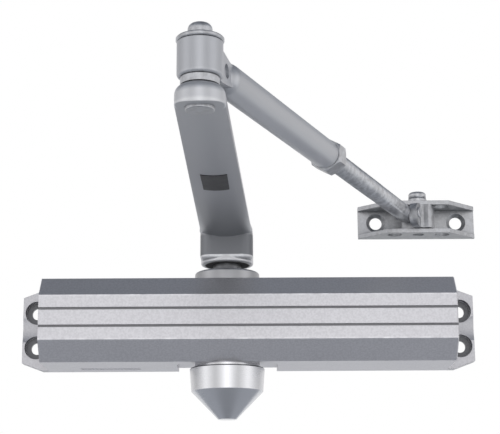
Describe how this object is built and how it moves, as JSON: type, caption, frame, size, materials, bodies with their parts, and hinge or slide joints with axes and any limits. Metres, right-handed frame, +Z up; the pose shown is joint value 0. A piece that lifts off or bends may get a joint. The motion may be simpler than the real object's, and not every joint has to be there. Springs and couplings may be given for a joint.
{
  "type": "surface door closer",
  "caption": "Surface-mounted rack-and-pinion door closer with a ribbed silver body, turned cone spindle cap, forged main arm, adjustable forearm and a channel shoe for the frame.",
  "frame": {"origin": "centre of the body's back mounting face, which is the centre of its four-hole pattern", "axes": "+X along the body towards its spring end, +Y towards the door, +Z up along the spindle"},
  "size_m": [0.2483, 0.2686, 0.1273],
  "materials": {
    "cast_silver": "satin silver casting",
    "turned_aluminium": "turned, bright",
    "forged_silver": "silver enamel",
    "zinc_steel": "zinc plated",
    "plated_steel": "zinc plated sheet",
    "machined_steel": "machined",
    "spring_steel": "oil tempered",
    "bearing_bronze": "machined",
    "seal_rubber": "moulded",
    "dark_plate": "matte dark"
  },
  "bodies": {
    "housing": {"closer_body": "cast_silver", "end_plug_left": "turned_aluminium", "end_plug_right": "turned_aluminium", "end_plug_seals": "seal_rubber", "bearing_cap_upper": "turned_aluminium", "bearing_cap_lower": "turned_aluminium", "bearing_upper": "bearing_bronze", "bearing_lower": "bearing_bronze", "shaft_seal_upper": "seal_rubber", "shaft_seal_lower": "seal_rubber", "spindle_cap": "turned_aluminium", "valve_seals": "seal_rubber", "main_spring": "spring_steel"},
    "arm": {"pinion_shaft": "machined_steel", "main_arm": "forged_silver", "arm_plate": "dark_plate", "arm_washer": "zinc_steel", "arm_screw": "zinc_steel", "elbow_pin": "zinc_steel", "elbow_spacer": "zinc_steel", "elbow_washer": "zinc_steel", "elbow_nut": "zinc_steel"},
    "piston": {"rack_piston": "machined_steel", "piston_ring": "seal_rubber", "check_valve_seat": "machined_steel", "check_valve_ball": "machined_steel"},
    "spring_plate": {"spring_seat": "machined_steel"},
    "power_adjuster": {"power_screw": "zinc_steel"},
    "closing_speed": {"closing_valve": "zinc_steel"},
    "latch_speed": {"latch_valve": "zinc_steel"},
    "forearm": {"forearm": "forged_silver", "elbow_bush": "bearing_bronze"},
    "locking_nut": {"lock_nut": "zinc_steel"},
    "rod": {"adjusting_rod": "zinc_steel"},
    "knuckle": {"knuckle": "zinc_steel", "knuckle_rivet": "zinc_steel"},
    "shoe": {"shoe_bracket": "plated_steel", "shoe_pivot_washer": "zinc_steel", "shoe_pivot_screw": "zinc_steel"}
  },
  "joints": [
    {"name": "spindle_turn", "type": "hinge", "parent": "housing", "child": "arm", "pos_m": [-0.0112, -0.023, 0], "axis": [0, 0, -1], "range_deg": [0, 150]},
    {"name": "piston_slide", "type": "slide", "parent": "housing", "child": "piston", "axis": [1, 0, 0], "range_m": [0, 0.0236], "deforming": ["main_spring"]},
    {"name": "power_screw_turn", "type": "hinge", "parent": "housing", "child": "power_adjuster", "pos_m": [0.1, -0.023, 0], "axis": [-1, 0, 0], "range_deg": [0, 2160]},
    {"name": "spring_seat_slide", "type": "slide", "parent": "housing", "child": "spring_plate", "axis": [-1, 0, 0], "range_m": [0, 0.009]},
    {"name": "closing_valve_turn", "type": "hinge", "parent": "housing", "child": "closing_speed", "pos_m": [-0.1, -0.01, 0.017], "axis": [-1, 0, 0], "range_deg": [0, 360]},
    {"name": "latch_valve_turn", "type": "hinge", "parent": "housing", "child": "latch_speed", "pos_m": [-0.1, -0.01, -0.017], "axis": [-1, 0, 0], "range_deg": [0, 360]},
    {"name": "elbow_swivel", "type": "hinge", "parent": "arm", "child": "forearm", "pos_m": [-0.01738, -0.25892, 0.0623], "axis": [0, 0, -1], "range_deg": [-8, 150]},
    {"name": "lock_nut_turn", "type": "hinge", "parent": "forearm", "child": "locking_nut", "pos_m": [0.03808, -0.13037, 0.0616], "axis": [0.3961, 0.9182, -0.005], "continuous": true},
    {"name": "length_adjust", "type": "slide", "parent": "forearm", "child": "rod", "axis": [0.3961, 0.9182, -0.005], "range_m": [-0.02, 0.02]},
    {"name": "knuckle_tilt", "type": "hinge", "parent": "rod", "child": "knuckle", "pos_m": [0.08568, -0.02002, 0.061], "axis": [0.9182, -0.3961, 0], "range_deg": [-4, 4]},
    {"name": "shoe_swivel", "type": "hinge", "parent": "knuckle", "child": "shoe", "pos_m": [0.0935, -0.0125, 0.06], "axis": [0, 0, 1], "range_deg": [-80, 35]}
  ],
  "couplings": [
    {"joint": "piston_slide", "follows": "spindle_turn", "m_per_rad": 0.009},
    {"joint": "spring_seat_slide", "follows": "power_screw_turn", "m_per_rad": 0.00023873}
  ]
}
